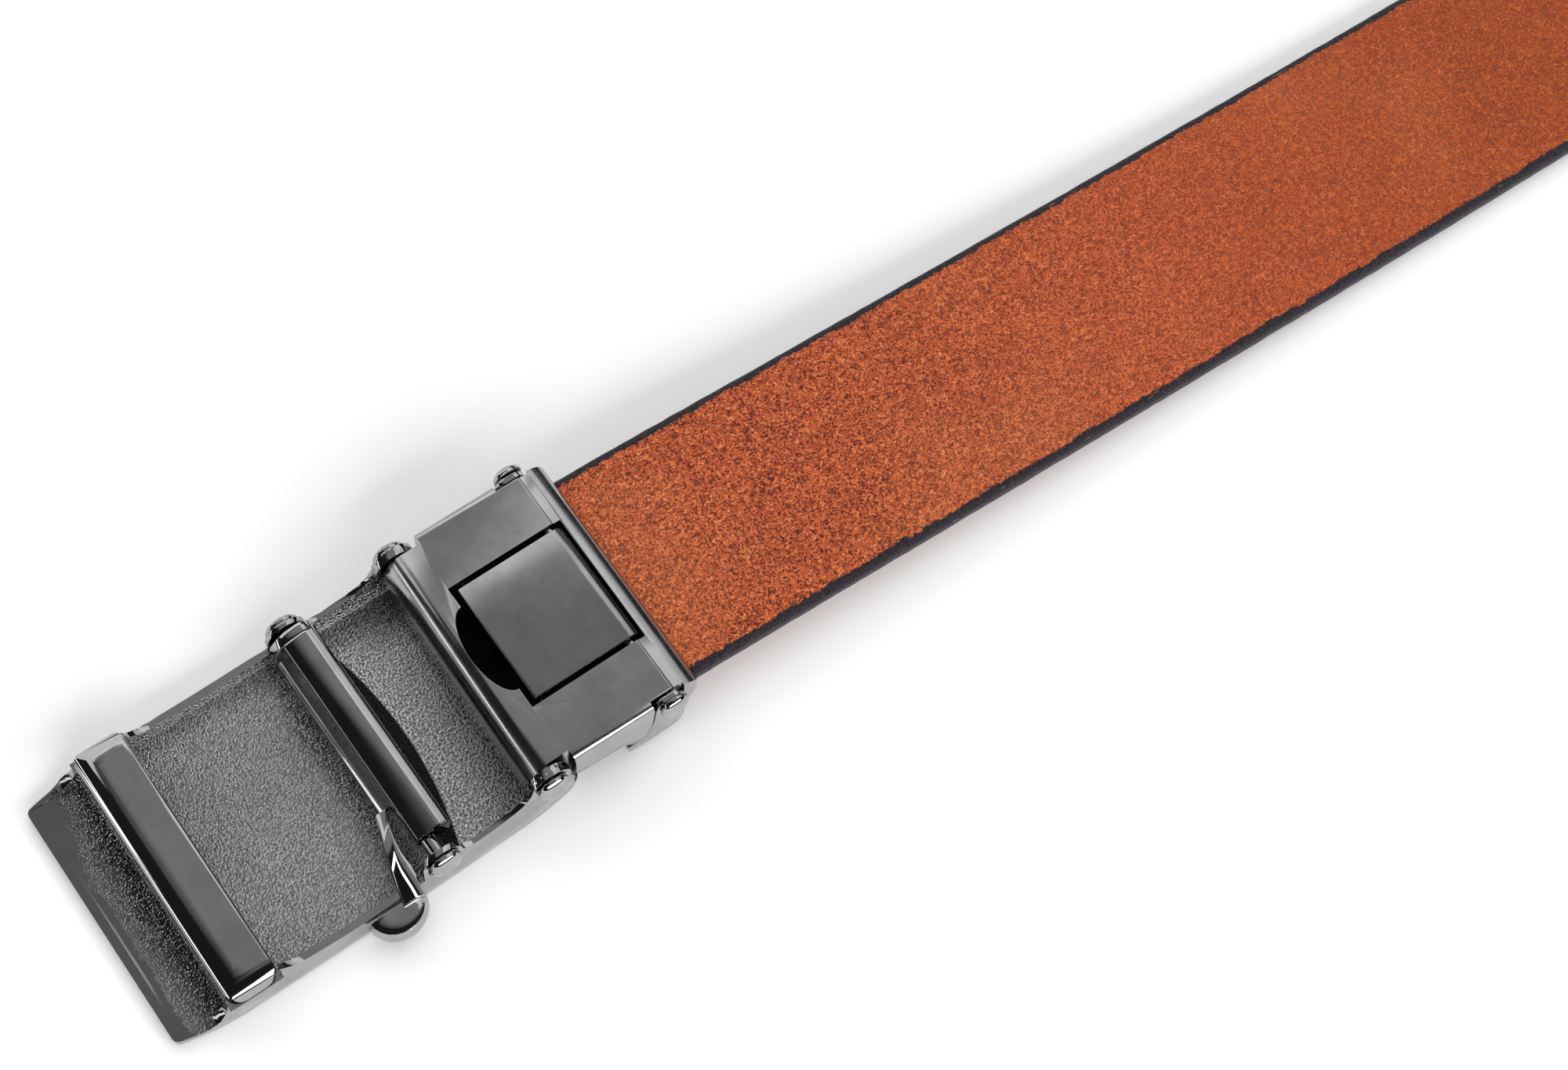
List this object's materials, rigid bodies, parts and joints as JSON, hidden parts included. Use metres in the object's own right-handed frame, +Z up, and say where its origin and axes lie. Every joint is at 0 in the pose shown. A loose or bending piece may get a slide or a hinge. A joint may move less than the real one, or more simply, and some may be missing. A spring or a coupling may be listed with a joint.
{
  "type": "ratchet belt",
  "caption": "Ratchet belt: automatic buckle with pivoting pawl and thumb release, folding strap clamp with cam flap, and a length of leather strap.",
  "frame": {"origin": "middle of the buckle plate's outer face, which lies on the surface", "axes": "+X from the buckle's free end towards the strap, +Y towards the belt edge away from the thumb release, +Z up, from the face to the wearer's side"},
  "size_m": [0.2651, 0.0468, 0.013],
  "materials": {
    "black_nickel": "polished black nickel",
    "suede": "rough suede side"
  },
  "bodies": {
    "clamp": {"clamp_housing": "black_nickel", "clamp_base": "black_nickel", "clamp_rivet_near": "black_nickel", "clamp_rivet_far": "black_nickel", "flap_pin": "black_nickel", "strap": "suede"},
    "buckle": {"buckle_frame": "black_nickel", "pawl_pin": "black_nickel"},
    "pawl": {"pawl": "black_nickel"},
    "flap": {"clamp_flap": "black_nickel"}
  },
  "joints": [
    {"name": "buckle_hinge", "type": "hinge", "parent": "clamp", "child": "buckle", "pos_m": [0.0268, 0, 0.0093], "axis": [0, 1, 0], "range_deg": [0, 80]},
    {"name": "pawl_pivot", "type": "hinge", "parent": "buckle", "child": "pawl", "pos_m": [0.0093, 0, 0.0071], "axis": [0, 1, 0], "range_deg": [0, 15], "stiffness_Nm_per_rad": 0.01, "springref_deg": -20.05},
    {"name": "flap_hinge", "type": "hinge", "parent": "clamp", "child": "flap", "pos_m": [0.0465, 0, 0.01075], "axis": [0, 1, 0], "range_deg": [0, 90]}
  ]
}
